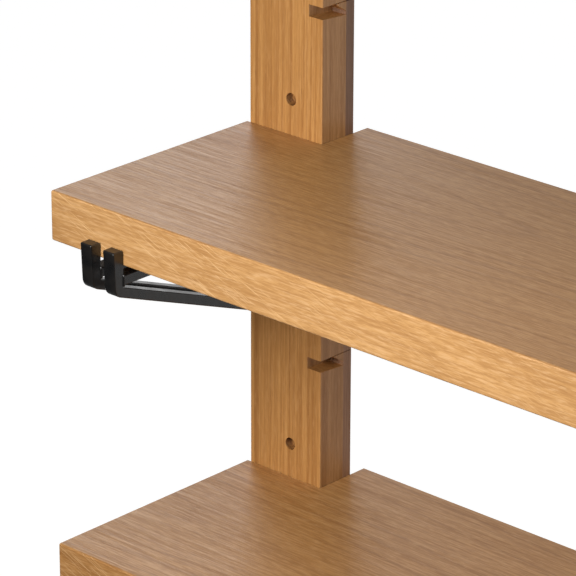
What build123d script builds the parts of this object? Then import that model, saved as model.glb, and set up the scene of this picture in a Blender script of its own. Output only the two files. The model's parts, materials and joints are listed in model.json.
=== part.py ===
"""Oak wall shelving: two notched uprights, two lift-off shelves and four forged iron brackets.

Frame: +X runs along the wall, +Y points into the wall, +Z is up.
The origin lies on the wall plane, at the centre of the four outer wall screws.
All lengths are in millimetres. The right-hand side mirrors the left-hand side.
"""
import os
from math import cos, radians, tan

from build123d import *

os.makedirs("parts", exist_ok=True)

# ---------------------------------------------------------------- driving dimensions
shelf_length = 900.0
shelf_depth = 330.0
shelf_thickness = 50.0
shelf_pitch = 364.0  # from one shelf's top to the next
shelf_edge_radius = 2.2
shelf_gap = 0.5  # clearance between a shelf and the uprights
upper_shelf_top = 200.0

upright_width = 95.0
upright_height = 780.0
upright_inset = 5.0  # from the shelf's end to the upright's outer face
board_depth = 33.5  # oak board that carries the pockets and peg holes
backing_depth = 12.5  # dark board behind it
batten_depth = 19.5  # spacer against the wall
batten_width = 64.0
batten_height = 760.0
batten_inset = 19.0  # from the upright's inner face to the batten's inner edge
board_edge_radius = 1.2

pocket_pitch = shelf_pitch / 2
pocket_top_lip = 325.0
pocket_count = 4
pocket_width = 17.6
pocket_height = 12.0
pocket_flat = 17.5  # depth over which the ceiling is level
pocket_floor_drop = 2.4  # the floor falls towards the back, so that the hook can't slide out
pocket_back_rise = 1.4  # height of the ceiling over the lip at the pocket's back
kerf_height = 0.9
kerf_depth = 2.0

peg_drop = 89.0  # from a pocket's lip down to its peg hole
peg_inset = 40.3  # from the upright's inner face
peg_hole_diameter = 13.0
peg_hole_depth = 9.0
peg_diameter = 12.6
peg_length = 8.0  # behind the strut
peg_chamfer = 0.8
tenon_diameter = 7.0
tenon_clearance = 0.1  # on the diameter of the strut's hole
rivet_head_radius = 6.0
rivet_head_height = 2.6

bar_width = 14.2
bar_thickness = 10.0
bar_edge_radius = 1.2
finger_height = 16.0  # above the shelf's underside
finger_top_thickness = 13.0
finger_foot_thickness = 11.0
finger_front_radius = 1.6
finger_back_radius = 2.8
finger_gap = 0.4  # between the fingers and the shelf's front face
bend_radius = 11.0
crook_radius = 1.5
crook_drop = 1.6  # from the top bar's underside to the inside of the bend
brace_slope = radians(20.5)
arm_drop = 9.3  # from the shelf's underside to the top of the top bars
strut_foot = 2.0  # how far the strut reaches below the brace
hook_inset = 10.8  # from the upright's inner face to the hook arm's centre
hook_width = 12.0
hook_length = 45.0  # in front of the upright
hook_clearance = 0.15  # over the pocket's floor
hook_headroom = 0.7  # under the pocket's slanted ceiling
hook_top_gap = 0.4  # under the shelf
hook_face_gap = 0.6  # in front of the upright
hook_nose_gap = 0.9  # between the nose and the backing
hook_chamfer = 0.6
rest_bar_width = 14.0
rest_bar_height = 8.0
rest_bar_setbacks = (45.0, 190.0)  # from the shelf's front face
felt_thickness = 1.2
felt_margin = 2.0

wall_screw_inset = 68.0  # from the upright's inner face
wall_screw_levels = (360.0, 80.0, -360.0)
wall_hole_diameter = 7.0
wall_counterbore_diameter = 16.0
wall_counterbore_depth = 14.0

wood_screw_levels = (345.0, 180.0, 0.0, -180.0, -345.0)
wood_screw_length = 50.0
wood_screw_diameter = 4.8
wood_screw_head_diameter = 9.6
wood_screw_head_angle = 80.0
wood_screw_tip = 8.0
wood_screw_clearance = 0.1  # on the diameter of its hole
cross_recess_width = 1.2
cross_recess_length = 5.0
cross_recess_depth = 1.6

overcut = 1.0  # how far a cutting outline reaches past the faces it opens

# ---------------------------------------------------------------- places that follow from them
half_length = shelf_length / 2
outer_face = half_length - upright_inset
inner_face = outer_face - upright_width
upright_middle = (inner_face + outer_face) / 2
batten_middle = inner_face + batten_inset + batten_width / 2
hook_arm_x = inner_face + hook_inset
peg_arm_x = inner_face + peg_inset
wall_screw_x = inner_face + wall_screw_inset

shelf_front = -shelf_depth
backing_back = -batten_depth
board_back = backing_back - backing_depth
upright_front = board_back - board_depth
strut_front = upright_front - bar_thickness
finger_back = shelf_front - finger_gap
pocket_lips = [pocket_top_lip - pocket_pitch * step for step in range(pocket_count)]

shelf_tops = {"upper": upper_shelf_top, "lower": upper_shelf_top - shelf_pitch}
sides = {"left": -1, "right": 1}


def save(piece, label):
    """Label a finished piece and write it as one STEP file."""
    piece.part.label = label
    export_step(piece.part, f"parts/{label}.step")


def facing_room(x, y, levels):
    """Planes at x, y and each level, which face the room."""
    return [Plane(origin=(x, y, level), z_dir=(0, -1, 0)) for level in levels]


def facing_wall(x, y, levels):
    """Planes at x, y and each level, which face the wall."""
    return [Plane(origin=(x, y, level), z_dir=(0, 1, 0)) for level in levels]


# ---------------------------------------------------------------- shelves
def make_shelf(top):
    """Thick board whose back corners are cut out around the uprights."""
    cut_x = inner_face - shelf_gap
    cut_y = upright_front - shelf_gap
    back_y = -shelf_gap
    outline = [
        (-half_length, shelf_front),
        (half_length, shelf_front),
        (half_length, cut_y),
        (cut_x, cut_y),
        (cut_x, back_y),
        (-cut_x, back_y),
        (-cut_x, cut_y),
        (-half_length, cut_y),
    ]
    with BuildPart() as shelf:
        with BuildSketch(Plane.XY.offset(top - shelf_thickness)):
            with BuildLine():
                Polyline(*outline, close=True)
            make_face()
        extrude(amount=shelf_thickness)
        front_corners = shelf.edges().filter_by(Axis.Z).group_by(Axis.Y)[0]
        fillet(front_corners, radius=shelf_edge_radius)
        rims = shelf.faces().filter_by(Axis.Z).edges()
        outer_rims = rims.filter_by(lambda edge: edge.center().Y < cut_y - shelf_edge_radius)
        fillet(outer_rims, radius=shelf_edge_radius)
    return shelf


# ---------------------------------------------------------------- uprights
def make_board(side, front, back):
    """Plain board of the upright's outline, between two planes parallel to the wall."""
    with BuildPart() as board:
        with BuildSketch(Plane.XY.offset(-upright_height / 2)):
            with Locations((side * upright_middle, (front + back) / 2)):
                Rectangle(upright_width, back - front)
        extrude(amount=upright_height)
    return board


def cut_kerfs(side, front, back):
    """Saw kerfs on the inner side face, level with each pocket's ceiling."""
    for lip in pocket_lips:
        with BuildSketch(Plane.YZ.offset(side * inner_face)) as kerf:
            with Locations(((front + back) / 2, lip + pocket_height - kerf_height / 2)):
                Rectangle(back - front, kerf_height)
        extrude(kerf.sketch, amount=side * kerf_depth, mode=Mode.SUBTRACT)


def cut_pockets(side):
    """Hook pockets, open at the front and at the inner side, with a slanted ceiling."""
    mouth = upright_front - overcut
    for lip in pocket_lips:
        outline = [
            (mouth, lip),
            (upright_front, lip),
            (board_back, lip - pocket_floor_drop),
            (board_back, lip + pocket_back_rise),
            (upright_front + pocket_flat, lip + pocket_height),
            (mouth, lip + pocket_height),
        ]
        with BuildSketch(Plane.YZ.offset(side * (inner_face - overcut))) as pocket:
            with BuildLine():
                Polyline(*outline, close=True)
            make_face()
        extrude(pocket.sketch, amount=side * (pocket_width + overcut), mode=Mode.SUBTRACT)


def make_upright_board(side):
    """Oak board with hook pockets on its inner front edge and round peg holes in its front."""
    peg_levels = [lip - peg_drop for lip in pocket_lips]
    screw_reach = wood_screw_length + board_back
    with BuildPart() as board:
        add(make_board(side, upright_front, board_back).part)
        fillet(board.faces().sort_by(Axis.Y)[0].edges(), radius=board_edge_radius)
        cut_pockets(side)
        cut_kerfs(side, upright_front + pocket_flat, board_back)
        with Locations(*facing_room(side * peg_arm_x, upright_front, peg_levels)):
            Hole(peg_hole_diameter / 2, depth=peg_hole_depth)
        with Locations(*facing_room(side * wall_screw_x, upright_front, wall_screw_levels)):
            CounterBoreHole(
                wall_hole_diameter / 2,
                wall_counterbore_diameter / 2,
                wall_counterbore_depth,
                depth=board_depth,
            )
        with Locations(*facing_wall(side * batten_middle, board_back, wood_screw_levels)):
            Hole((wood_screw_diameter + wood_screw_clearance) / 2, depth=screw_reach)
    return board


def make_upright_backing(side):
    """Dark board behind the oak board, with the same outline."""
    with BuildPart() as backing:
        add(make_board(side, board_back, backing_back).part)
        chamfer(backing.faces().sort_by(Axis.Y)[-1].edges(), length=board_edge_radius)
        cut_kerfs(side, board_back, backing_back)
        with Locations(*facing_room(side * wall_screw_x, board_back, wall_screw_levels)):
            Hole(wall_hole_diameter / 2, depth=backing_depth)
        with Locations(*facing_wall(side * batten_middle, backing_back, wood_screw_levels)):
            Hole((wood_screw_diameter + wood_screw_clearance) / 2, depth=backing_depth)
    return backing


def make_wall_batten(side):
    """Spacer that holds the upright off the wall, with countersinks on its wall side."""
    with BuildPart() as batten:
        with BuildSketch(Plane.XY.offset(-batten_height / 2)):
            with Locations((side * batten_middle, -batten_depth / 2)):
                Rectangle(batten_width, batten_depth)
        extrude(amount=batten_height)
        chamfer(batten.edges().filter_by(Axis.Z), length=board_edge_radius)
        with Locations(*facing_room(side * wall_screw_x, backing_back, wall_screw_levels)):
            Hole(wall_hole_diameter / 2, depth=batten_depth)
        with Locations(*facing_wall(side * batten_middle, 0, wood_screw_levels)):
            CounterSinkHole(
                (wood_screw_diameter + wood_screw_clearance) / 2,
                (wood_screw_head_diameter + wood_screw_clearance) / 2,
                depth=batten_depth,
                counter_sink_angle=wood_screw_head_angle,
            )
    return batten


def make_wood_screws(side):
    """Countersunk wood screws, driven from the wall side, which join an upright's layers."""
    shank = wood_screw_diameter / 2
    head = wood_screw_head_diameter / 2
    head_depth = (head - shank) / tan(radians(wood_screw_head_angle / 2))
    x = side * batten_middle
    outline = [
        (x, 0),
        (x + head, 0),
        (x + shank, -head_depth),
        (x + shank, wood_screw_tip - wood_screw_length),
        (x, -wood_screw_length),
    ]
    with BuildPart() as screws:
        for level in wood_screw_levels:
            with BuildSketch(Plane.XY.offset(level)):
                with BuildLine():
                    Polyline(*outline, close=True)
                make_face()
            revolve(axis=Axis((x, 0, level), (0, 1, 0)))
            with BuildSketch(Plane.XZ):
                with Locations((x, level)):
                    Rectangle(cross_recess_length, cross_recess_width)
                    Rectangle(cross_recess_width, cross_recess_length)
            extrude(amount=cross_recess_depth, mode=Mode.SUBTRACT)
    return screws


# ---------------------------------------------------------------- brackets
def lip_under(underside):
    """Lip of the pocket that serves the shelf with this underside."""
    return max(lip for lip in pocket_lips if lip < underside)


def peg_level_under(underside):
    """Height of the peg that serves the shelf with this underside."""
    return lip_under(underside) - peg_drop


def crook_level(underside):
    """Height of the inside of a bent bar's bend."""
    return underside - arm_drop - bar_thickness - crook_drop


def brace_end_level(underside):
    """Height of the brace's underside where it meets the strut."""
    fall = tan(brace_slope) * (strut_front - finger_back)
    return crook_level(underside) - fall - bar_thickness / cos(brace_slope)


def make_bent_bar(arm_x, underside):
    """One bar bent into an upturned finger and a brace that falls back to the strut."""
    rise = tan(brace_slope)
    crook = crook_level(underside)
    foot = brace_end_level(underside)
    finger_top = underside + finger_height
    finger_front = finger_back - finger_foot_thickness
    tip_back = (finger_back, finger_top)
    tip_front = (finger_back - finger_top_thickness, finger_top)
    bend_inside = (finger_back, crook)
    bend_outside = (finger_front, foot + rise * (strut_front - finger_front))
    outline = [
        tip_back,
        bend_inside,
        (strut_front, crook - rise * (strut_front - finger_back)),
        (strut_front, foot),
        bend_outside,
        tip_front,
    ]
    rounded = (
        (tip_back, finger_back_radius),
        (tip_front, finger_front_radius),
        (bend_inside, crook_radius),
        (bend_outside, bend_radius),
    )
    with BuildPart() as bar:
        with BuildSketch(Plane.YZ.offset(arm_x)) as section:
            with BuildLine():
                Polyline(*outline, close=True)
            make_face()
            for corner, radius in rounded:
                fillet(section.vertices().sort_by_distance(corner)[0], radius=radius)
        extrude(amount=bar_width / 2, both=True)
        fillet(bar.faces().filter_by(Axis.X).edges(), radius=bar_edge_radius)
    return bar


def make_top_bar(arm_x, underside):
    """Level bar from the back of the finger to the upright."""
    top = underside - arm_drop
    with BuildPart() as bar:
        with BuildSketch(Plane.XZ.offset(-finger_back)):
            with Locations((arm_x, top - bar_thickness / 2)):
                Rectangle(bar_width, bar_thickness)
        extrude(amount=finger_back - upright_front)
        fillet(bar.edges().filter_by(Axis.Y), radius=bar_edge_radius)
    return bar


def make_strut(arm_x, underside, riveted):
    """Upright bar that stands against the oak board and takes the brace's thrust."""
    top = underside - arm_drop - bar_thickness
    foot = brace_end_level(underside) - strut_foot
    peg_level = peg_level_under(underside)
    with BuildPart() as strut:
        with BuildSketch(Plane.XY.offset(foot)):
            with Locations((arm_x, upright_front - bar_thickness / 2)):
                Rectangle(bar_width, bar_thickness)
        extrude(amount=top - foot)
        fillet(strut.edges().filter_by(Axis.Z), radius=bar_edge_radius)
        if riveted:
            with Locations(*facing_room(arm_x, strut_front, [peg_level])):
                Hole(tenon_diameter / 2, depth=bar_thickness)
    return strut


def make_hook(arm_x, underside):
    """Tongue on top of the hook arm, whose tapered nose drops behind the pocket's lip."""
    floor = lip_under(underside) + hook_clearance
    bottom = underside - arm_drop
    top = underside - hook_top_gap
    nose = board_back - hook_nose_gap
    ceiling_slope = (pocket_height - pocket_back_rise) / (board_depth - pocket_flat)
    back_ceiling = lip_under(underside) + pocket_back_rise - hook_headroom
    nose_top = back_ceiling + ceiling_slope * (board_back - nose)
    nose_floor = floor - pocket_floor_drop * (nose - upright_front) / board_depth
    outline = [
        (upright_front - hook_length, bottom),
        (upright_front - hook_face_gap, bottom),
        (upright_front - hook_face_gap, floor),
        (upright_front, floor),
        (nose, nose_floor),
        (nose, nose_top),
        (nose - (top - nose_top) / ceiling_slope, top),
        (upright_front - hook_length, top),
    ]
    with BuildPart() as hook:
        with BuildSketch(Plane.YZ.offset(arm_x)):
            with BuildLine():
                Polyline(*outline, close=True)
            make_face()
        extrude(amount=hook_width / 2, both=True)
        chamfer(hook.faces().filter_by(Axis.X).edges().sort_by(Axis.Z)[-4:], length=hook_chamfer)
    return hook


def make_peg(arm_x, underside):
    """Round peg with a tenon that passes through the strut and is riveted over."""
    level = peg_level_under(underside)
    rivet_crown = (arm_x, strut_front - rivet_head_height)
    rivet_rim = (arm_x + rivet_head_radius, strut_front)
    cap_radius = (rivet_head_radius**2 + rivet_head_height**2) / (2 * rivet_head_height)
    tenon_edge = arm_x + (tenon_diameter - tenon_clearance) / 2
    peg_edge = arm_x + peg_diameter / 2
    peg_end = upright_front + peg_length
    body = [
        rivet_rim,
        (tenon_edge, strut_front),
        (tenon_edge, upright_front),
        (peg_edge, upright_front),
        (peg_edge, peg_end - peg_chamfer),
        (peg_edge - peg_chamfer, peg_end),
        (arm_x, peg_end),
        rivet_crown,
    ]
    with BuildPart() as peg:
        with BuildSketch(Plane.XY.offset(level)):
            with BuildLine():
                Polyline(*body)
                RadiusArc(rivet_crown, rivet_rim, -cap_radius)
            make_face()
        revolve(axis=Axis((arm_x, 0, level), (0, 1, 0)))
    return peg


def make_rest_bars(side, underside):
    """Two short bars across a bracket's arms, on which the shelf lies."""
    middle = side * (hook_arm_x + peg_arm_x) / 2
    span = peg_arm_x - hook_arm_x + bar_width
    with BuildPart() as bars:
        for setback in rest_bar_setbacks:
            with BuildSketch(Plane.XY.offset(underside - arm_drop)):
                with Locations((middle, shelf_front + setback)):
                    Rectangle(span, rest_bar_width)
            extrude(amount=rest_bar_height)
        fillet(bars.faces().group_by(Axis.Z)[-1].edges(), radius=bar_edge_radius)
    return bars


def make_felt_strips(side, underside):
    """Felt strips glued on the rest bars."""
    middle = side * (hook_arm_x + peg_arm_x) / 2
    span = peg_arm_x - hook_arm_x + bar_width
    with BuildPart() as strips:
        for setback in rest_bar_setbacks:
            with BuildSketch(Plane.XY.offset(underside - arm_drop + rest_bar_height)):
                with Locations((middle, shelf_front + setback)):
                    Rectangle(span - 2 * felt_margin, rest_bar_width - 2 * felt_margin)
            extrude(amount=felt_thickness)
    return strips


# ---------------------------------------------------------------- the whole object
for top_name, top in shelf_tops.items():
    save(make_shelf(top), f"{top_name}_shelf")

for side_name, side in sides.items():
    save(make_upright_board(side), f"{side_name}_upright_board")
    save(make_upright_backing(side), f"{side_name}_upright_backing")
    save(make_wall_batten(side), f"{side_name}_wall_batten")
    save(make_wood_screws(side), f"{side_name}_wood_screws")
    for top_name, top in shelf_tops.items():
        underside = top - shelf_thickness
        bracket = f"{top_name}_{side_name}"
        for arm_name, arm_x in (("hook", side * hook_arm_x), ("peg", side * peg_arm_x)):
            save(make_bent_bar(arm_x, underside), f"{bracket}_{arm_name}_arm")
            save(make_top_bar(arm_x, underside), f"{bracket}_{arm_name}_top_bar")
            save(make_strut(arm_x, underside, arm_name == "peg"), f"{bracket}_{arm_name}_strut")
        save(make_hook(side * hook_arm_x, underside), f"{bracket}_hook")
        save(make_peg(side * peg_arm_x, underside), f"{bracket}_peg")
        save(make_rest_bars(side, underside), f"{bracket}_rest_bars")
        save(make_felt_strips(side, underside), f"{bracket}_felt_strips")
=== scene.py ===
"""Looks of the wall shelf: materials, welds, light, floor and camera around its CAD frame. In metres."""

import json
import math

import bpy
from mathutils import Matrix, Vector


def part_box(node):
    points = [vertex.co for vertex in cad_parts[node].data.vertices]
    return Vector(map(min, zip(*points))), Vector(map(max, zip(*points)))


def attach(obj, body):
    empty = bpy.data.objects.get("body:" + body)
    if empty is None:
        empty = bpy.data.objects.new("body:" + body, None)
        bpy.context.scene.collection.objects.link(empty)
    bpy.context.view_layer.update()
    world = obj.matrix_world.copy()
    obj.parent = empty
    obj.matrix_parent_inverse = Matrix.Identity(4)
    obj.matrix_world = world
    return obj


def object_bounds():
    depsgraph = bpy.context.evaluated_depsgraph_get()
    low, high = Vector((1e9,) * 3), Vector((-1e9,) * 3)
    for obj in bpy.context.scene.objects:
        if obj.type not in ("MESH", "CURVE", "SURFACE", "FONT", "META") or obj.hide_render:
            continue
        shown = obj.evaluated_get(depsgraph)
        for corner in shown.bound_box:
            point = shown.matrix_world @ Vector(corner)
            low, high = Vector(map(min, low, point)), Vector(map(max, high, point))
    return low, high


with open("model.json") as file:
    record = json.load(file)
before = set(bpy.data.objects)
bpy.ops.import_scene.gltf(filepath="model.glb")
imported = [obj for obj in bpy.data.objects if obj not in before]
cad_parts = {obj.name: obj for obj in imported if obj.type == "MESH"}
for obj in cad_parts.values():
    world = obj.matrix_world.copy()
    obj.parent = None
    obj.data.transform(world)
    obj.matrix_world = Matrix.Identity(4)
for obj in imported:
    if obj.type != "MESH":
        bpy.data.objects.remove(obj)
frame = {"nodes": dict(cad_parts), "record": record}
cad_low, cad_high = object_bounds()

# Camera
VIEW_AZIMUTH = math.radians(42.91)
VIEW_ELEVATION = math.radians(22.14)
VIEW_ROLL = math.radians(0.134)
VIEW_DISTANCE = 3.52
VIEW_LENS_MM = 236.8
AIM_FROM_SHELF_CORNER = Vector((0.1852, 0.1256, -0.0839))

# Room
FLOOR_DROP = 0.85
FLOOR_HALF = 30.0
FLOOR_COLOUR = (0.20, 0.20, 0.195, 1)
FLOOR_SEEN = 0.95
FLOOR_ROUGHNESS = 0.9
FLOOR_BEHIND, FLOOR_FAR = 0.42, 0.85  # glow beyond the wall plane, near and far
NEAR_RAMP, FAR_RAMP = (0.2, 1.6), (2.6, 4.5)  # distances beyond the wall plane over which each glow rises
ROOM_FRONT, ROOM_BACK, ROOM_ABOVE = 0.12, 0.52, 0.12
ROOM_TURN = (-0.3, 0.6)  # from front light to back light
ROOM_RISE = (0.40, 0.85)  # from light around to light above

# Soft boxes: place, aim, width, height and watts
LIGHTS = {
    "key": ((0.05, -1.50, 0.80), (-0.10, -0.3, 0.12), 0.50, 0.75, 28.6),
    "fill": ((-2.2, 0.7, -0.45), (-0.3, -0.1, 0.0), 1.2, 1.2, 11.0),
    "sheen": ((-2.0, 1.2, 1.1), (-0.45, -0.3, 0.2), 0.9, 0.9, 6.9),
}

# Grain, in repeats per metre along and across it
FIBRE_ALONG, FIBRE_ACROSS = 8.0, 380.0
PORE_ALONG, PORE_ACROSS = 70.0, 1500.0
CLOUD_ALONG, CLOUD_ACROSS = 1.6, 14.0
BAND_ALONG, BAND_ACROSS = 2.4, 95.0
FINE_ALONG, FINE_ACROSS = 60.0, 680.0
RIPPLE_ALONG, RIPPLE_ACROSS = 17.0, 30.0
SAW_ALONG, SAW_ACROSS = 260.0, 420.0

# Wood
GRAIN_BUMP, GRAIN_HEIGHT = 0.35, 0.0002
FACE = (0.5, 0.9)  # how squarely a surface turns one way before it counts as that face
UPRIGHT_PITH, BACKING_PITH, BATTEN_PITH = (0.10, 0.09), (0.20, 0.15), (0.05, 0.10)
UPPER_PITH, LOWER_PITH = (0.06, -0.06), (-0.03, -0.08)  # from the middle of each shelf's top
END_GRAIN, END_DARKENING = (0.6, 0.95), 0.45
FLECK_SLANT = math.radians(-22)
FLECK_SIZE, FLECK_PATCHES = (26.0, 70.0, 1050.0), (9.0, 30.0, 30.0)  # repeats per metre
FLECK_STRENGTH, FLECK_LEAST = 0.62, 0.3
FLECK_FADE = (-0.30, 0.02)  # the flecks grow faint from one of these places along the shelf to the other
SKIN = 0.0012  # depth below which a board's surface is a cut
# Darkening of pocket and hole walls: partly their raw sawn wood, partly painted shade, which is full in the
# holes.
POCKET_SAWN_AND_PAINTED_SHADE, HOLE_SAWN_AND_PAINTED_SHADE = 0.22, 1.0
POCKET_REACH = 0.02  # pockets lie nearer than this to the upright's inner face, and holes further

# Metal and felt. Their marks are in repeats per metre.
HAMMER, GRIT, PATINA = (130.0,) * 3, (1900.0,) * 3, (38.0,) * 3
DULL_PATCHES, TURNED_MARKS = (260.0,) * 3, (2600.0, 400.0, 2600.0)
HAIRS, TUFTS = (1500.0,) * 3, (320.0,) * 3
IRON_SPECULAR, FELT_SHEEN = 0.80, 0.4

# Weld beads
BEAD_RADIUS = 0.0014
BEAD_SWELL = 0.82
BEAD_RIPPLE = 0.0011
BEAD_RESOLUTION = 2

# Colours. Each wood has a light, a middle, a dark and a pore tone.
OAK = ((0.590, 0.295, 0.092), (0.480, 0.225, 0.064), (0.370, 0.160, 0.041), (0.160, 0.062, 0.017))
SMOKED = ((0.370, 0.195, 0.105), (0.320, 0.165, 0.086), (0.220, 0.110, 0.056), (0.110, 0.052, 0.027))
PINE = ((0.700, 0.480, 0.250), (0.640, 0.410, 0.195), (0.480, 0.270, 0.110), (0.340, 0.180, 0.075))
IRON_BLACK, IRON_BROWN = (0.0030, 0.0030, 0.0034, 1), (0.0080, 0.0068, 0.0060, 1)
ZINC_BRIGHT, ZINC_DULL = (0.55, 0.54, 0.50, 1), (0.40, 0.39, 0.37, 1)
FELT_DARK, FELT_PALE, FELT_TUFT = (0.028, 0.027, 0.027, 1), (0.085, 0.082, 0.080, 1), (0.04, 0.04, 0.04, 1)
# Shelf face tones, holding painted light: the top darkened and greyed as painted shade and sheen, the front
# edges lifted paler and whiter than their radial cut as painted light, and the lower shelf's edges kept
# darker as painted shade.
TOP_PAINTED_SHADE_AND_SHEEN = (0.84, 0.86, 0.92)
EDGE_CUT_AND_PAINTED_LIGHT = (1.08, 1.19, 1.46)
LOW_EDGE_CUT_AND_PAINTED_SHADE = (0.96, 0.96, 1.02)
# The upright's sides, darkened and made cooler as painted shade and sheen.
SIDE_PAINTED_SHADE_AND_SHEEN = (0.84, 0.88, 1.07)
BACKING_FADE = (0.08, 0.25)  # the backing grows darker from one of these heights to the other
BACKING_DARK = (0.66, 0.66, 0.70)
FLECK = (0.86, 0.56, 0.28)
PALE_LIFT = (1.12, 1.24, 1.60)  # from a wood's light tone to its palest fibres


# ---------------------------------------------------------------- shader nodes
def add(tree, kind, inputs=None, **settings):
    """Adds one node. An input given a socket is linked to it, and any other is set."""
    made = tree.nodes.new(kind)
    for name, value in settings.items():
        setattr(made, name, value)
    for name, value in (inputs or {}).items():
        if isinstance(value, bpy.types.NodeSocket):
            tree.links.new(value, made.inputs[name])
        else:
            made.inputs[name].default_value = value
    return made


def calc(tree, operation, a, b=0.0, c=0.0):
    """One step of arithmetic on numbers or sockets."""
    return add(tree, "ShaderNodeMath", {0: a, 1: b, 2: c}, operation=operation).outputs[0]


def spread(tree, value, low, high, to_low=0.0, to_high=1.0):
    """Maps low..high smoothly onto to_low..to_high, held flat beyond."""
    inputs = {"Value": value, 1: low, 2: high, 3: to_low, 4: to_high}
    return add(tree, "ShaderNodeMapRange", inputs, interpolation_type="SMOOTHSTEP").outputs[0]


def on_vector(tree, operation, a, b):
    """One step of arithmetic on vectors."""
    return add(tree, "ShaderNodeVectorMath", {0: a, 1: b}, operation=operation).outputs[0]


def split(tree, vector):
    """The three parts of a vector."""
    return add(tree, "ShaderNodeSeparateXYZ", {0: vector}).outputs


def noise(tree, vector, scale, detail=2.0, roughness=0.5, distortion=0.0):
    """Noise over a vector that is first scaled along each of its axes."""
    scaled = on_vector(tree, "MULTIPLY", vector, scale)
    inputs = {"Vector": scaled, "Scale": 1.0, "Detail": detail, "Roughness": roughness}
    return add(tree, "ShaderNodeTexNoise", {**inputs, "Distortion": distortion}).outputs[0]


def blend(tree, factor, first, second, mode="MIX"):
    """Mixes two colours."""
    made = add(tree, "ShaderNodeMix", data_type="RGBA", blend_type=mode)
    for socket, value in ((made.inputs[0], factor), (made.inputs[6], first), (made.inputs[7], second)):
        if isinstance(value, bpy.types.NodeSocket):
            tree.links.new(value, socket)
        else:
            socket.default_value = value
    return made.outputs[2]


def new_material(name):
    """A material with nothing but a Principled shader, its tree and that shader."""
    material = bpy.data.materials.new(name)
    material.use_nodes = True
    tree = material.node_tree
    tree.nodes.clear()
    shader = add(tree, "ShaderNodeBsdfPrincipled")
    add(tree, "ShaderNodeOutputMaterial", {"Surface": shader.outputs[0]})
    return material, tree, shader


def grain_space(tree, along):
    """Object coordinates turned so that X runs along the grain, Y across the face and Z into it."""
    axes = {"X": ("X", "Y", "Z"), "Z": ("Z", "X", "Y")}[along]
    place = add(tree, "ShaderNodeTexCoord")
    turned = []
    for source in ("Object", "Normal"):
        parts = split(tree, place.outputs[source])
        inputs = {n: parts[axis] for n, axis in enumerate(axes)}
        turned.append(add(tree, "ShaderNodeCombineXYZ", inputs).outputs[0])
    return turned


# ------------------------------------------------------------------- materials
def wood(
    name,
    along,
    pith,
    tones,
    ring,
    taper=0.02,
    wander=0.004,
    ring_depth=0.5,
    bands=0.2,
    fine=0.2,
    finish=0.42,
    cuts=None,
):
    """Sawn wood. Its rings are cut from a tree whose pith lies at the given place across the grain."""
    light, mid, dark, pore = tones
    pale = [part * lift for part, lift in zip(light, PALE_LIFT)]
    material, tree, shader = new_material(name)
    place, normal = grain_space(tree, along)

    cloud = noise(tree, place, (CLOUD_ALONG, CLOUD_ACROSS, CLOUD_ACROSS), 2.0)
    rings = growth_rings(tree, place, cloud, pith, ring, taper, wander)
    lines = spread(tree, rings, 0.26, 0.44, 1.0, 0.0)
    fibre = noise(tree, place, (FIBRE_ALONG, FIBRE_ACROSS, FIBRE_ACROSS), 4.0, 0.62)
    pores = noise(tree, place, (PORE_ALONG, PORE_ACROSS, PORE_ACROSS), 1.0)
    in_early_wood = spread(tree, rings, 0.3, 0.6, 1.0, 0.3)
    pores = calc(tree, "MULTIPLY", spread(tree, pores, 0.60, 0.72), in_early_wood)

    colour = blend(tree, spread(tree, rings, 0.32, 0.68, ring_depth, 0.0), (*light, 1), (*mid, 1))
    colour = blend(tree, spread(tree, fibre, 0.36, 0.60, 0.50, 0.0), colour, (*dark, 1))
    colour = blend(tree, spread(tree, fibre, 0.54, 0.68, 0.0, 0.30), colour, (*light, 1))
    colour = blend(tree, calc(tree, "MULTIPLY", lines, ring_depth), colour, (*dark, 1))
    colour = blend(tree, spread(tree, cloud, 0.35, 0.68, 0.14, 0.0), colour, (*dark, 1))
    band = noise(tree, place, (BAND_ALONG, BAND_ACROSS, BAND_ACROSS), 2.0)
    colour = blend(tree, spread(tree, band, 0.36, 0.54, bands, 0.0), colour, (*dark, 1))
    hair = noise(tree, place, (FINE_ALONG, FINE_ACROSS, FINE_ACROSS), 2.0, 0.65)
    colour = blend(tree, spread(tree, hair, 0.38, 0.50, fine, 0.0), colour, (*dark, 1))
    colour = blend(tree, spread(tree, hair, 0.52, 0.66, 0.0, fine), colour, (*pale, 1))
    colour = blend(tree, calc(tree, "MULTIPLY", pores, 0.40), colour, (*pore, 1))

    ends = spread(tree, calc(tree, "ABSOLUTE", split(tree, normal)[0]), *END_GRAIN)
    colour = blend(tree, calc(tree, "MULTIPLY", ends, END_DARKENING), colour, (*dark, 1))
    height = calc(tree, "MULTIPLY_ADD", pores, -0.8, calc(tree, "MULTIPLY", fibre, 0.5))
    if cuts:
        colour, height = sawn_inside(tree, place, cuts, colour, height, pore)

    inputs = {"Strength": GRAIN_BUMP, "Distance": GRAIN_HEIGHT, "Height": height}
    bump = add(tree, "ShaderNodeBump", inputs)
    tree.links.new(colour, shader.inputs["Base Color"])
    rough = spread(tree, fibre, 0.3, 0.7, finish + 0.10, finish - 0.04)
    tree.links.new(rough, shader.inputs["Roughness"])
    tree.links.new(bump.outputs[0], shader.inputs["Normal"])
    return material, tree, place, normal, colour, shader


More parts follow.
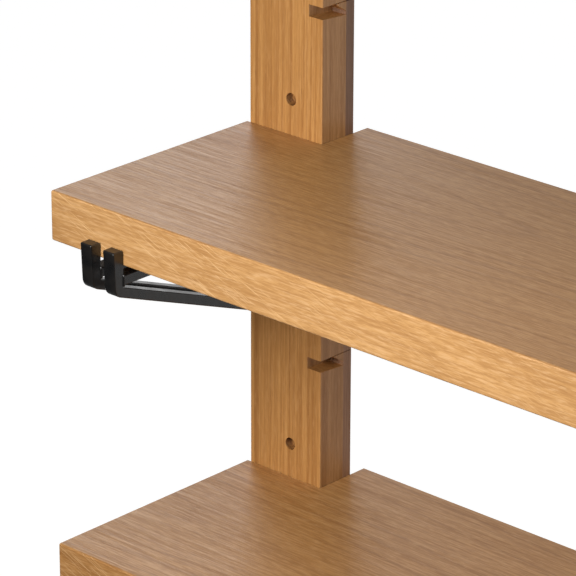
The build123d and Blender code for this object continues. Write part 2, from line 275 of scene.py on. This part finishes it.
def growth_rings(tree, place, cloud, pith, ring, taper, wander):
    """Uneven bands by distance from the pith. The tree's taper draws them out into arches."""
    from_pith = on_vector(tree, "SUBTRACT", place, (0.0, *pith))
    drift = calc(tree, "MULTIPLY", split(tree, from_pith)[0], taper)
    across = on_vector(tree, "MULTIPLY", from_pith, (0.0, 1.0, 1.0))
    radius = add(tree, "ShaderNodeVectorMath", {0: across}, operation="LENGTH").outputs["Value"]
    wavy = calc(tree, "MULTIPLY_ADD", cloud, wander, calc(tree, "ADD", radius, drift))
    ripple = noise(tree, place, (RIPPLE_ALONG, RIPPLE_ACROSS, RIPPLE_ACROSS), 1.0)
    wavy = calc(tree, "MULTIPLY_ADD", ripple, wander * 0.5, wavy)
    inputs = {"W": calc(tree, "DIVIDE", wavy, ring), "Scale": 1.0, "Detail": 3.0, "Roughness": 0.62}
    return add(tree, "ShaderNodeTexNoise", inputs, noise_dimensions="1D").outputs[0]


def sawn_inside(tree, place, cuts, colour, height, pore):
    """Darkens and roughens the walls of pockets and holes, inside the board's skin: sawn marks on the
    unfinished wood, with painted shade laid over them, slight in the pockets and full in the holes.
    """
    low, high = cuts
    parts = split(tree, place)
    across = calc(tree, "ABSOLUTE", parts[1])
    inside = 1.0
    for value, near, far in ((across, low[0], high[0]), (parts[2], low[1], high[1])):
        for edge, sign in ((near, 1.0), (far, -1.0)):
            reach = calc(tree, "MULTIPLY", calc(tree, "SUBTRACT", value, edge), sign)
            inside = calc(tree, "MULTIPLY", spread(tree, reach, SKIN * 0.5, SKIN), inside)
    marks = noise(tree, place, (SAW_ALONG, SAW_ACROSS, SAW_ACROSS), 2.0)
    tone = blend(tree, spread(tree, marks, 0.36, 0.66, 0.20, 0.72), (*pore, 1), colour)
    holes_from = low[0] + POCKET_REACH
    # Painted shade in the recesses, slight in the pockets and full in the holes.
    sawn_and_painted_shade = spread(tree, across, holes_from, holes_from + SKIN, POCKET_SAWN_AND_PAINTED_SHADE, HOLE_SAWN_AND_PAINTED_SHADE)
    colour = blend(tree, calc(tree, "MULTIPLY", inside, sawn_and_painted_shade), colour, tone)
    height = calc(tree, "MULTIPLY_ADD", calc(tree, "MULTIPLY", marks, inside), 2.0, height)
    return colour, height


def shelf_oak(name, pith, edge_cut_and_painted_light):
    """Shelf wood: its edges are the paler radial cut, which shows ray flecks. The face tones also hold
    painted light: the top is darkened and greyed as painted shade and sheen, and the edges are lifted paler
    and whiter as painted light.
    """
    material, tree, place, normal, colour, shader = wood(
        name, "X", pith, OAK, ring=0.0075, taper=0.06, wander=0.008, ring_depth=0.6, bands=0.12, fine=0.50
    )
    on_edge = spread(tree, calc(tree, "ABSOLUTE", split(tree, normal)[1]), *FACE)
    # Painted light: the top is darkened and greyed, the edges lifted and whitened.
    tone = blend(tree, on_edge, (*TOP_PAINTED_SHADE_AND_SHEEN, 1), (*edge_cut_and_painted_light, 1))
    colour = blend(tree, 1.0, colour, tone, "MULTIPLY")
    flecks = calc(tree, "MULTIPLY", ray_flecks(tree, place), on_edge)
    tree.links.new(blend(tree, flecks, colour, (*FLECK, 1)), shader.inputs["Base Color"])
    return material


def upright_oak(name, cuts):
    """Upright wood, with painted shade and sheen on its sides: they are darkened and made cooler than its
    front.
    """
    board = wood(
        name,
        "Z",
        UPRIGHT_PITH,
        OAK,
        ring=0.0062,
        taper=0.004,
        ring_depth=1.0,
        bands=0.45,
        fine=0.25,
        cuts=cuts,
    )
    material, tree, _, normal, colour, shader = board
    on_side = spread(tree, calc(tree, "ABSOLUTE", split(tree, normal)[1]), *FACE)
    # Painted shade and sheen: the sides are darkened and made cooler.
    tone = blend(tree, on_side, (1, 1, 1, 1), (*SIDE_PAINTED_SHADE_AND_SHEEN, 1))
    tree.links.new(blend(tree, 1.0, colour, tone, "MULTIPLY"), shader.inputs["Base Color"])
    return material


def smoked_backing(name):
    """Fumed wood, darker towards its top."""
    board = wood(name, "Z", BACKING_PITH, SMOKED, ring=0.005, finish=0.5)
    material, tree, place, _, colour, shader = board
    fade = spread(tree, split(tree, place)[0], *BACKING_FADE)
    tone = blend(tree, fade, (1, 1, 1, 1), (*BACKING_DARK, 1))
    tree.links.new(blend(tree, 1.0, colour, tone, "MULTIPLY"), shader.inputs["Base Color"])
    return material


def ray_flecks(tree, place):
    """Thin pale flecks that lie aslant to the grain."""
    inputs = {"Vector": place, "Rotation": (0.0, FLECK_SLANT, 0.0)}
    aslant = add(tree, "ShaderNodeMapping", inputs).outputs[0]
    fleck = noise(tree, aslant, FLECK_SIZE, 1.0)
    patch = noise(tree, aslant, FLECK_PATCHES, 0.0)
    fleck = calc(tree, "MULTIPLY", spread(tree, fleck, 0.57, 0.70), spread(tree, patch, 0.38, 0.54))
    along = split(tree, place)[0]
    strength = spread(tree, along, *FLECK_FADE, FLECK_STRENGTH, FLECK_STRENGTH * FLECK_LEAST)
    return calc(tree, "MULTIPLY", fleck, strength)


def forged_iron(name):
    """Black waxed iron: satin, faintly hammered, a little browner and duller in patches."""
    material, tree, shader = new_material(name)
    place = add(tree, "ShaderNodeTexCoord").outputs["Object"]
    hammer = noise(tree, place, HAMMER, 1.0)
    grit = noise(tree, place, GRIT, 2.0)
    patch = noise(tree, place, PATINA, 3.0)
    colour = blend(tree, spread(tree, patch, 0.42, 0.66), IRON_BLACK, IRON_BROWN)
    tree.links.new(colour, shader.inputs["Base Color"])
    broad = spread(tree, patch, 0.35, 0.65, 0.24, 0.34)
    rough = calc(tree, "ADD", broad, spread(tree, grit, 0.3, 0.7, -0.03, 0.04))
    tree.links.new(rough, shader.inputs["Roughness"])
    dents = add(tree, "ShaderNodeBump", {"Strength": 0.30, "Distance": 0.0008, "Height": hammer})
    inputs = {"Strength": 0.25, "Distance": 0.00008, "Height": grit, "Normal": dents.outputs[0]}
    tree.links.new(add(tree, "ShaderNodeBump", inputs).outputs[0], shader.inputs["Normal"])
    shader.inputs["Specular IOR Level"].default_value = IRON_SPECULAR
    return material


def plated_steel(name):
    """Zinc-plated screw heads, turned marks and dull patches."""
    material, tree, shader = new_material(name)
    place = add(tree, "ShaderNodeTexCoord").outputs["Object"]
    patch = noise(tree, place, DULL_PATCHES, 3.0)
    marks = noise(tree, place, TURNED_MARKS, 1.0)
    colour = blend(tree, spread(tree, patch, 0.35, 0.65), ZINC_BRIGHT, ZINC_DULL)
    tree.links.new(colour, shader.inputs["Base Color"])
    tree.links.new(spread(tree, patch, 0.3, 0.7, 0.28, 0.48), shader.inputs["Roughness"])
    bump = add(tree, "ShaderNodeBump", {"Strength": 0.2, "Distance": 0.00005, "Height": marks})
    tree.links.new(bump.outputs[0], shader.inputs["Normal"])
    shader.inputs["Metallic"].default_value = 1.0
    return material


def felt(name):
    """Dark grey pressed felt."""
    material, tree, shader = new_material(name)
    place = add(tree, "ShaderNodeTexCoord").outputs["Object"]
    hairs = noise(tree, place, HAIRS, 3.0, 0.7, 1.5)
    tufts = noise(tree, place, TUFTS, 2.0)
    colour = blend(tree, spread(tree, hairs, 0.35, 0.65), FELT_DARK, FELT_PALE)
    colour = blend(tree, spread(tree, tufts, 0.4, 0.6, 0.0, 0.35), colour, FELT_TUFT)
    tree.links.new(colour, shader.inputs["Base Color"])
    bump = add(tree, "ShaderNodeBump", {"Strength": 0.8, "Distance": 0.0004, "Height": hairs})
    tree.links.new(bump.outputs[0], shader.inputs["Normal"])
    shader.inputs["Roughness"].default_value = 0.95
    shader.inputs["Sheen Weight"].default_value = FELT_SHEEN
    shader.inputs["Sheen Roughness"].default_value = 0.5
    return material


# --------------------------------------------------------------- the materials
shelf_top_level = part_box("upper_shelf")[1].z
lower_top_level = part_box("lower_shelf")[1].z
shelf_middle = (cad_low.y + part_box("upper_shelf")[1].y) / 2
upper_pith = (shelf_middle + UPPER_PITH[0], shelf_top_level + UPPER_PITH[1])
lower_pith = (shelf_middle + LOWER_PITH[0], lower_top_level + LOWER_PITH[1])
board_low, board_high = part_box("right_upright_board")
board_cuts = ((board_low.x, board_low.y), (board_high.x, board_high.y))
finishes = {
    # The lower shelf takes its own darker edge tone, a painted shade.
    "upper_shelf": shelf_oak("upper_shelf_oak", upper_pith, EDGE_CUT_AND_PAINTED_LIGHT),
    "lower_shelf": shelf_oak("lower_shelf_oak", lower_pith, LOW_EDGE_CUT_AND_PAINTED_SHADE),
    "upright_oak": upright_oak("upright_oak", board_cuts),
    "dark_backing": smoked_backing("smoked_backing"),
    "batten_wood": wood("batten_pine", "Z", BATTEN_PITH, PINE, ring=0.006, finish=0.55)[0],
    "black_iron": forged_iron("black_iron"),
    "screw_steel": plated_steel("zinc_screws"),
    "felt": felt("grey_felt"),
}
for part in frame["record"]["subparts"]:
    node = frame["nodes"][part["node"]]
    finish = finishes.get(part["node"]) or finishes[part["material_slot"]]
    node.data.materials.clear()
    node.data.materials.append(finish)


# ------------------------------------------------------------------ weld beads
def bead(curve, points, closed):
    """One rippled bead along straight runs between points."""
    runs = list(zip(points, points[1:] + points[:1] if closed else points[1:]))
    places = []
    for start, end in runs:
        steps = max(2, round((end - start).length / BEAD_RIPPLE))
        places += [start.lerp(end, step / steps) for step in range(steps)]
    if not closed:
        places.append(points[-1])
    spline = curve.splines.new("POLY")
    spline.points.add(len(places) - 1)
    for number, (point, place) in enumerate(zip(spline.points, places)):
        point.co = (*place, 1)
        point.radius = BEAD_SWELL if number % 2 else 1.0
    spline.use_cyclic_u = closed


def ring(low, high, level, axis):
    """Corners of a bar's section where it meets a face across the given axis."""
    first, second = [n for n in range(3) if n != axis]
    corners = []
    for one, other in ((low, low), (high, low), (high, high), (low, high)):
        corner = Vector((0, 0, 0))
        corner[axis], corner[first], corner[second] = level, one[first], other[second]
        corners.append(corner)
    return corners


def make_welds(bracket):
    """Beads where one bracket's fingers, braces, struts, top bars and rest bars meet."""
    curve = bpy.data.curves.new(f"{bracket}_welds", "CURVE")
    curve.dimensions, curve.use_fill_caps = "3D", True
    curve.bevel_depth, curve.bevel_resolution = BEAD_RADIUS, BEAD_RESOLUTION
    for arm in ("hook", "peg"):
        bar_low, bar_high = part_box(f"{bracket}_{arm}_top_bar")
        bead(curve, ring(bar_low, bar_high, bar_low.y, 1), True)

        strut_low, strut_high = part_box(f"{bracket}_{arm}_strut")
        brace = frame["nodes"][f"{bracket}_{arm}_arm"].data.vertices
        brace_end = [v.co for v in brace if v.co.y > strut_low.y - BEAD_RADIUS / 10]
        brace_low = Vector((strut_low.x, strut_low.y, min(co.z for co in brace_end)))
        brace_high = Vector((strut_high.x, strut_low.y, max(co.z for co in brace_end)))
        bead(curve, ring(brace_low, brace_high, strut_low.y, 1), True)

        front, back = strut_low.y, strut_high.y - 2 * BEAD_RADIUS
        left, right = strut_low.x, strut_high.x
        corners = [(left, back), (left, front), (right, front), (right, back)]
        bead(curve, [Vector((x, y, strut_high.z)) for x, y in corners], False)

        for y in rest_edges(bracket):
            start = Vector((bar_low.x + BEAD_RADIUS, y, bar_high.z))
            bead(curve, [start, Vector((bar_high.x - BEAD_RADIUS, y, bar_high.z))], False)
    welds = bpy.data.objects.new(curve.name, curve)
    bpy.context.scene.collection.objects.link(welds)
    curve.materials.append(finishes["black_iron"])
    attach(welds, "wall_frame")


def rest_edges(bracket):
    """Depths of the front and rear face of both rest bars, read from the node's flat sides."""
    vertices = frame["nodes"][f"{bracket}_rest_bars"].data.vertices
    depths = sorted({round(v.co.y, 4) for v in vertices})
    gaps = [b - a for a, b in zip(depths, depths[1:])]
    between = gaps.index(max(gaps)) + 1
    return [depths[0], depths[between - 1], depths[between], depths[-1]]


for bracket in ("upper_left", "upper_right", "lower_left", "lower_right"):
    make_welds(bracket)


# ------------------------------------------------------------- floor and light
def plane(name, half, centre):
    """A square sheet facing up."""
    mesh = bpy.data.meshes.new(name)
    corners = [(-half, -half, 0), (half, -half, 0), (half, half, 0), (-half, half, 0)]
    mesh.from_pydata(corners, [], [(0, 1, 2, 3)])
    made = bpy.data.objects.new(name, mesh)
    made.location = centre
    bpy.context.scene.collection.objects.link(made)
    return made


def pale_floor():
    """White to the eye. It lights the object from beyond the wall plane, as a white cyclorama does."""
    material, tree, shader = new_material("pale_floor")
    shader.inputs["Base Color"].default_value = FLOOR_COLOUR
    shader.inputs["Roughness"].default_value = FLOOR_ROUGHNESS
    shader.inputs["Emission Color"].default_value = (1, 1, 1, 1)
    seen = add(tree, "ShaderNodeLightPath").outputs["Is Camera Ray"]
    place = add(tree, "ShaderNodeNewGeometry").outputs["Position"]
    depth = split(tree, place)[1]
    behind = spread(tree, depth, *NEAR_RAMP, 0.0, FLOOR_BEHIND)
    behind = calc(tree, "ADD", behind, spread(tree, depth, *FAR_RAMP, 0.0, FLOOR_FAR - FLOOR_BEHIND))
    glow = calc(tree, "MAXIMUM", calc(tree, "MULTIPLY", seen, FLOOR_SEEN), behind)
    tree.links.new(glow, shader.inputs["Emission Strength"])
    floor = plane("floor", FLOOR_HALF, (0, 0, cad_low.z - FLOOR_DROP))
    floor.data.materials.append(material)


def studio_world():
    """Soft light from round the room, brightest behind the wall and dim overhead, with a white surround."""
    world = bpy.data.worlds.new("studio")
    bpy.context.scene.world = world
    world.use_nodes = True
    tree = world.node_tree
    tree.nodes.clear()
    towards = add(tree, "ShaderNodeTexCoord").outputs["Generated"]
    parts = split(tree, towards)
    around = spread(tree, parts[1], *ROOM_TURN, ROOM_FRONT, ROOM_BACK)
    overhead = spread(tree, parts[2], *ROOM_RISE)
    level = calc(tree, "MULTIPLY_ADD", overhead, calc(tree, "SUBTRACT", ROOM_ABOVE, around), around)
    seen = add(tree, "ShaderNodeLightPath").outputs["Is Camera Ray"]
    strength = calc(tree, "MAXIMUM", level, seen)
    light = add(tree, "ShaderNodeBackground", {"Color": (1, 1, 1, 1), "Strength": strength})
    add(tree, "ShaderNodeOutputWorld", {"Surface": light.outputs[0]})


def softbox(name, place, aim, width, height, power):
    """A soft rectangular light aimed at a point."""
    data = bpy.data.lights.new(name, "AREA")
    data.shape, data.size, data.size_y, data.energy = "RECTANGLE", width, height, power
    lamp = bpy.data.objects.new(name, data)
    lamp.location = place
    lamp.visible_camera = False
    lamp.rotation_euler = (Vector(aim) - Vector(place)).to_track_quat("-Z", "Y").to_euler()
    bpy.context.scene.collection.objects.link(lamp)


pale_floor()
studio_world()
for name, (place, aim, width, height, power) in LIGHTS.items():
    softbox(name, place, aim, width, height, power)


# ---------------------------------------------------------------------- camera
def make_camera():
    """Looks past the upper shelf's front left corner, at the photograph's angle."""
    low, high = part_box("upper_shelf")
    aim = Vector((low.x, low.y, high.z)) + AIM_FROM_SHELF_CORNER
    turn = (
        Matrix.Rotation(VIEW_AZIMUTH, 4, "Z")
        @ Matrix.Rotation(math.pi / 2 - VIEW_ELEVATION, 4, "X")
        @ Matrix.Rotation(VIEW_ROLL, 4, "Z")
    )
    camera = bpy.data.objects.new("camera", bpy.data.cameras.new("camera"))
    camera.data.lens = VIEW_LENS_MM
    camera.data.sensor_width = 36
    camera.data.clip_start, camera.data.clip_end = 0.1, 200
    camera.matrix_world = Matrix.Translation(aim) @ turn @ Matrix.Translation((0, 0, VIEW_DISTANCE))
    bpy.context.scene.collection.objects.link(camera)
    bpy.context.scene.camera = camera


make_camera()
bpy.context.scene.view_settings.view_transform = "Standard"
